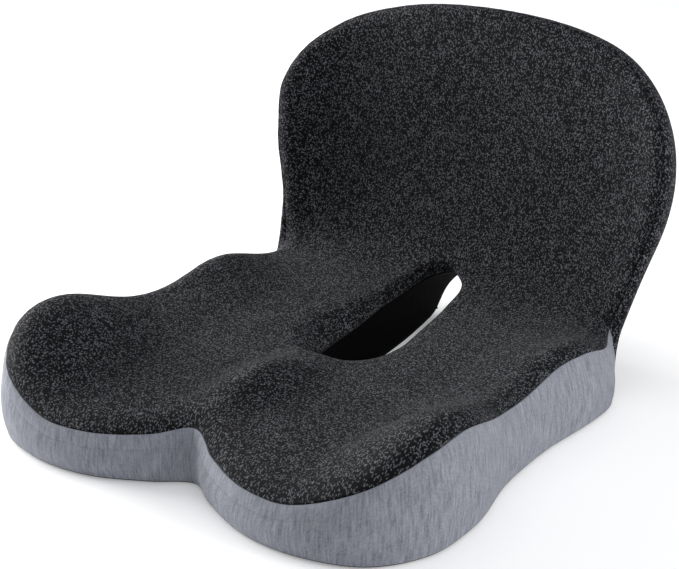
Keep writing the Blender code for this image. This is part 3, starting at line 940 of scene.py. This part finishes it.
def base_fabric():
    """Plain woven base: threads crossing over and under each other."""
    nodes = Nodes("base_fabric_weave")
    uv = nodes.pattern()
    threads = nodes.add("ShaderNodeSeparateXYZ", {0: nodes.scaled(uv, (THREADS, THREADS, 0))})
    warp = nodes.math("SINE", nodes.math("MULTIPLY", threads.outputs[0], math.pi))
    weft = nodes.math("SINE", nodes.math("MULTIPLY", threads.outputs[1], math.pi))
    weave = nodes.ramp(nodes.math("MULTIPLY", warp, weft), -1.0, 1.0)
    cloudy = nodes.noise(uv, 60.0, 3.0, 0.6)
    shade = nodes.math("MULTIPLY", weave, nodes.math("ADD", 0.5, cloudy))
    colour = nodes.mix(shade, (0.009, 0.009, 0.010, 1), (0.036, 0.036, 0.040, 1))
    return nodes.finish(colour, 0.8, weave, 0.00025, shine=0.25)


def object_noise(nodes, scale, detail=2.0, stretch=(1.0, 1.0, 1.0)):
    return nodes.noise(nodes.scaled(nodes.place(), stretch), scale, detail)


def foam():
    """Moulded foam: off-white, with fine open pores."""
    nodes = Nodes("foam_pores")
    inputs = {"Vector": nodes.place(), "Scale": 900.0}
    pores = nodes.add("ShaderNodeTexVoronoi", inputs).outputs["Distance"]
    cloudy = object_noise(nodes, 12.0, 3.0)
    shade = nodes.math("MULTIPLY", nodes.ramp(pores, 0.0, 0.5), nodes.math("ADD", 0.6, cloudy))
    colour = nodes.mix(shade, (0.60, 0.57, 0.49, 1), (0.80, 0.78, 0.72, 1))
    return nodes.finish(colour, 0.9, pores, 0.0004)


def nylon(name, dark, light, scale=1500.0, stretch=(1.0, 0.3, 0.3)):
    """Twisted nylon or rubber, with a faint grain."""
    nodes = Nodes(name)
    grain = object_noise(nodes, scale, 2.0, stretch)
    cloudy = object_noise(nodes, 90.0, 2.0)
    colour = nodes.mix(nodes.math("MULTIPLY", grain, cloudy), dark, light)
    roughness = nodes.math("ADD", 0.42, nodes.math("MULTIPLY", cloudy, 0.3))
    return nodes.finish(colour, roughness, grain, 0.00008)


def metal():
    """Cast zinc with a dark finish, worn a little brighter in places."""
    nodes = Nodes("zip_metal_finish")
    worn = object_noise(nodes, 420.0, 4.0)
    grain = object_noise(nodes, 2600.0, 2.0)
    shade = nodes.ramp(worn, 0.35, 0.75)
    colour = nodes.mix(shade, (0.13, 0.13, 0.14, 1), (0.34, 0.34, 0.35, 1))
    roughness = nodes.math("ADD", 0.28, nodes.math("MULTIPLY", grain, 0.25))
    return nodes.finish(colour, roughness, grain, 0.00004, metallic=1.0)


def floor_material():
    """Matt white studio board, barely uneven."""
    nodes = Nodes("studio_board")
    uneven = object_noise(nodes, 3.0, 2.0)
    colour = nodes.mix(uneven, (0.90, 0.90, 0.905, 1), (0.92, 0.92, 0.925, 1))
    nodes.put(nodes.shader.inputs["Emission Color"], colour)
    nodes.put(nodes.shader.inputs["Emission Strength"], FLOOR_LIGHT)
    return nodes.finish(colour, 0.85, uneven, 0.0001)


def dress(obj, material):
    obj.data.materials.clear()
    obj.data.materials.append(material)


# The cover's pieces


def seam_dip(cover):
    """How the cover is drawn in along the back's seam, and puckers beside every seam."""
    starts = cover.starts
    to_seam = cover.from_row(starts["seam"])
    on_back = smooth_step((cover.outline[:, 1] - BAND_END_S) / DIP_GROWTH)
    dip = DIP_DEPTH * np.exp(-((to_seam / DIP_WIDTH) ** 2)) * on_back
    turns = cover.along[starts["seam"], :-1] * 2 * math.pi
    wave = np.sin(turns / PUCKER_WAVE + DRIFT_SHARE * np.sin(turns / PUCKER_DRIFT))
    pucker = PUCKER * np.exp(-to_seam / PUCKER_REACH) * wave
    rows = np.arange(cover.rows)[:, None]
    beside = (rows < starts["hem"]) | (rows > starts["rim"])
    return np.where(beside, pucker - dip, 0.0)


def build_cover(cover, black, rear_black, grey, base):
    """The sewn panels, each over its own cells of the grid. Gives back the rear one."""
    starts, around = cover.starts, cover.around
    seam, hem, rim, tunnel = (starts[name] for name in ("seam", "hem", "rim", "tunnel"))
    end, face = starts["band_end"], GAP + FABRIC
    to_seam, to_hem, to_rim = (cover.from_row(row) for row in (seam, hem, rim))
    to_ends = [cover.from_column(column) for column in (0, end, around - end)]
    band_flat = np.stack([np.repeat(cover.along[seam][None], cover.rows, axis=0)] * 2, axis=2)
    band_flat[..., 1] = np.concatenate([cover.down, cover.down[:, :1]], axis=1)

    front_high = face - quarter_roll(to_seam, ROLL) - quarter_roll(to_rim, TIGHT_ROLL)
    band_high = face - quarter_roll(to_seam, TIGHT_ROLL) - quarter_roll(to_hem, TIGHT_ROLL)
    band_high -= quarter_roll(np.minimum.reduce(to_ends), TIGHT_ROLL)
    above_hem = np.arange(cover.rows)[:, None] < hem
    rear_high = face - np.where(above_hem, quarter_roll(to_seam, ROLL), 0.0)
    base_high = face - quarter_roll(to_hem, TIGHT_ROLL)
    lining_high = np.full_like(to_rim, face)

    under = (hem, tunnel, 0, around)
    front_cells = region(cover, (rim - cover.rows, seam, 0, around))
    right_cells = region(cover, (seam, hem, 0, end))
    left_cells = region(cover, (seam, hem, around - end, around))
    rear_cells = region(cover, (seam, hem, end, around - end), under)
    base_cells = region(cover, under)
    lining_cells = region(cover, (tunnel, rim, 0, around))

    front = panel(cover, "front_panel", front_cells, front_high, cover.flat)
    right = panel(cover, "side_band_right_knit", right_cells, band_high, band_flat)
    left = panel(cover, "side_band_left_knit", left_cells, band_high, band_flat)
    rear = panel(cover, "rear_panel", rear_cells, rear_high, cover.flat)
    bisect(rear, BASE_EDGE_Z, keep_above=True)
    bottom = panel(cover, "base_fabric_panel", base_cells, base_high, cover.flat)
    bisect(bottom, BASE_EDGE_Z, keep_above=False)
    lining = panel(cover, "tunnel_lining", lining_cells, lining_high, cover.flat)

    for obj, material, slot in (
        (front, black, "black_knit"),
        (rear, rear_black, "black_knit"),
        (lining, shaded_lining_knit(), "black_knit"),
        (right, grey, "grey_knit"),
        (left, grey, "grey_knit"),
        (bottom, base, "base_fabric"),
    ):
        dress(obj, material)
    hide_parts("seat_top_panel", "back_front_panel")
    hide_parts("rear_lower_panel", "back_rear_panel")
    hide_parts("side_band_right")
    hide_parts("side_band_left")
    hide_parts("base_panel")
    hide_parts("tunnel_liner")
    for obj in (right, left, bottom, lining):
        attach(obj, "seat")
    for obj in (front, rear):
        bend(obj)
    return rear


def bend(obj):
    """Bakes the piece's place into its mesh. The piece crosses the line where the back flexes on
    the seat, but nothing here bends it.
    """
    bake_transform(obj)


def build_welts(cover, rear, black, grey):
    """The folded edge over the grey bands, the notch seam, and the piping round the base's rear."""
    starts, around = cover.starts, cover.around
    seam, hem, end = starts["seam"], starts["hem"], starts["band_end"]
    row = seam + 2
    high = (GAP + FABRIC - WELT_SINK + cover.swell[row])[:, None]
    points = cover.points[row] + cover.normals[row] * high
    for name, columns in (("right", range(0, end + 1)), ("left", range(around - end, around + 1))):
        welt = tube("welt_" + name, points[np.array(columns) % around], WELT_RADIUS)
        dress(welt, grey)
        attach(welt, "seat")
    down = slice(seam, hem + 1)
    ridge = cover.points[down, 0] + cover.normals[down, 0] * (LOW + NOTCH_RADIUS)
    stitched = tube("notch_seam", ridge, NOTCH_RADIUS)
    dress(stitched, black)
    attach(stitched, "seat")
    for i, run in enumerate(cut_lines(rear, BASE_EDGE_Z)):
        piping = tube(f"base_piping_{i + 1}", run, PIPING_RADIUS)
        dress(piping, black)
        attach(piping, "seat")


def zip_points(along, up, out):
    """Points of a line on the zip, from its distances along, up and out of it."""
    across = ZIP_MIDDLE + along[:, None] * ZIP_ALONG
    return across + np.reshape(up, (-1, 1)) * ZIP_UP + out[:, None] * ZIP_OUT


def build_zip(nylon_black, stitching):
    """Spiral coils in place of the CAD's plain ones, and the stitching that holds the tapes."""
    turns = int(ZIP_LENGTH / COIL_PITCH)
    at = np.linspace(0, turns, turns * TURN_POINTS + 1)
    for name, sign, shift in (("upper", 1, COIL_PITCH / 2), ("lower", -1, 0)):
        along = np.minimum(-ZIP_LENGTH / 2 + at * COIL_PITCH + shift, ZIP_LENGTH / 2)
        up = sign * (COIL_MIDDLE - COIL_SWING * np.cos(at * 2 * math.pi))
        out = COIL_RADIUS + COIL_RADIUS * np.sin(at * 2 * math.pi)
        coil = tube("zip_spiral_" + name, zip_points(along, up, out), COIL_WIRE)
        dress(coil, nylon_black)
        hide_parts("zip_coil_" + name)
        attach(coil, "back")
        for offset in STITCH_OFFSETS:
            along = np.linspace(-ZIP_LENGTH / 2, ZIP_LENGTH / 2, STITCH_POINTS)
            out = STITCH_LIFT + STITCH_WAVE * np.cos(along * 2 * math.pi / STITCH_PITCH)
            line = zip_points(along, sign * offset, out)
            stitches = tube(f"zip_stitches_{name}_{int(offset * 10000)}", line, THREAD_RADIUS)
            dress(stitches, stitching)
            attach(stitches, "back")


def build_grip(cover, rubber):
    """Rubber dots printed on the base, in staggered rows, as one mesh."""
    bm = bmesh.new()
    outline = cover.points[cover.starts["base"]][:, :2]
    hole = cover.points[cover.starts["tunnel"]][:, :2]
    rows = int(DOT_REACH / (DOT_PITCH * DOT_ROW))
    for j in range(-rows, rows + 1):
        for i in range(-DOT_COLUMNS, DOT_COLUMNS + 1):
            x = (i + 0.5 * (j % 2)) * DOT_PITCH
            y = j * DOT_PITCH * DOT_ROW
            on_base = y <= BASE_FLAT_END and inside(outline, x, y, EDGE_MARGIN)
            if not on_base or near(hole, x, y, HOLE_MARGIN) or inside(hole, x, y, 0.0):
                continue
            made = bmesh.ops.create_cone(
                bm,
                segments=DOT_SIDES,
                radius1=DOT_RADIUS * DOT_TIP,
                radius2=DOT_RADIUS,
                depth=DOT_HEIGHT,
            )
            place = (x, y, DOT_HEIGHT / 2 + DOT_LIFT)
            bmesh.ops.translate(bm, vec=place, verts=made["verts"])
    mesh = bpy.data.meshes.new("grip_dots")
    bm.to_mesh(mesh)
    bm.free()
    dots = new_object("grip_dots", mesh)
    dress(dots, rubber)
    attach(dots, "seat")


def near(loop, x, y, distance):
    return bool((np.hypot(loop[:, 0] - x, loop[:, 1] - y) < distance).any())


def inside(loop, x, y, margin):
    """Whether a point lies in a closed outline, and clear of it by the margin."""
    ahead = np.roll(loop, -1, axis=0)
    crosses = (loop[:, 1] > y) != (ahead[:, 1] > y)
    rise = np.where(crosses, ahead[:, 1] - loop[:, 1], 1.0)
    at = loop[:, 0] + (y - loop[:, 1]) / rise * (ahead[:, 0] - loop[:, 0])
    within = bool((crosses & (x < at)).sum() % 2)
    return within and not near(loop, x, y, margin)


# Studio


def area_light(name, place, aim, size, power, tint):
    light = bpy.data.lights.new(name, "AREA")
    light.shape = "RECTANGLE"
    light.size, light.size_y = size
    light.energy = power
    light.color = tint
    obj = new_object(name, light)
    obj.location = place
    obj.rotation_euler = (Vector(aim) - Vector(place)).to_track_quat("-Z", "Y").to_euler()


def build_studio():
    mesh = bpy.data.meshes.new("floor")
    mesh.from_pydata([(-9, -9, 0), (9, -9, 0), (9, 9, 0), (-9, 9, 0)], [], [(0, 1, 2, 3)])
    floor = new_object("floor", mesh)
    dress(floor, floor_material())
    world = bpy.data.worlds.new("studio")
    world.use_nodes = True
    world.node_tree.nodes["Background"].inputs[0].default_value = (0.93, 0.96, 1.0, 1)
    world.node_tree.nodes["Background"].inputs[1].default_value = WORLD_LIGHT
    bpy.context.scene.world = world
    aim = (0, 0, 0.12)
    area_light("left_softbox", (-2.0, -0.10, 0.50), aim, (1.6, 0.9), LEFT_LIGHT, (1.0, 0.99, 0.97))
    area_light("right_softbox", (1.9, 0.55, 0.95), aim, (1.2, 1.0), RIGHT_LIGHT, (1.0, 0.99, 0.98))
    area_light("top_softbox", (0, 0.3, 2.6), (0, 0.1, 0), (3.2, 3.2), TOP_LIGHT, (1.0, 1.0, 1.0))


def build_camera(low, high):
    """The camera, turned and raised about a point beside the middle of the CAD part."""
    level = math.cos(ELEVATION)
    forward = Vector((-math.sin(AZIMUTH) * level, math.cos(AZIMUTH) * level, -math.sin(ELEVATION)))
    right = Vector((math.cos(AZIMUTH), math.sin(AZIMUTH), 0))
    aim = (low + high) / 2 + right * AIM_RIGHT + right.cross(forward) * AIM_UP
    data = bpy.data.cameras.new("camera")
    data.lens, data.sensor_width = LENS, SENSOR
    data.clip_start, data.clip_end = 0.05, 60
    camera = new_object("camera", data)
    camera.location = aim - forward * DISTANCE
    camera.rotation_euler = Euler((math.pi / 2 - ELEVATION, 0, AZIMUTH))
    bpy.context.scene.camera = camera


def main():
    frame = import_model()
    low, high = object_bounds()
    cover = Cover()
    black, grey, base = black_knit("black_knit_weave", knit_cells), grey_knit(), base_fabric()
    rear_black = black_knit("black_knit_rear", solid_cells)
    nylon_black = nylon("zip_nylon_yarn", YARN_DARK, YARN_LIGHT)
    stitching = nylon("stitching_thread", THREAD_DARK, THREAD_LIGHT, 4000.0)
    rubber = nylon("grip_rubber", RUBBER_DARK, RUBBER_LIGHT, 300.0, (1.0, 1.0, 1.0))
    zinc = metal()

    cover.swell += seam_dip(cover)
    padding = inflate(cover)
    dress(padding, foam())
    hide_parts("seat_foam", "back_foam")
    bend(padding)

    rear = build_cover(cover, black, rear_black, grey, base)
    build_welts(cover, rear, rear_black, grey)
    build_zip(nylon_black, stitching)
    build_grip(cover, rubber)
    for name, node in frame["nodes"].items():
        if name.startswith("zip_tape"):
            dress(node, nylon_black)
        elif name.startswith(("zip_slider", "zip_pull", "zip_stop")):
            dress(node, zinc)

    build_studio()
    build_camera(low, high)
    bpy.context.scene.view_settings.view_transform = "Standard"


main()
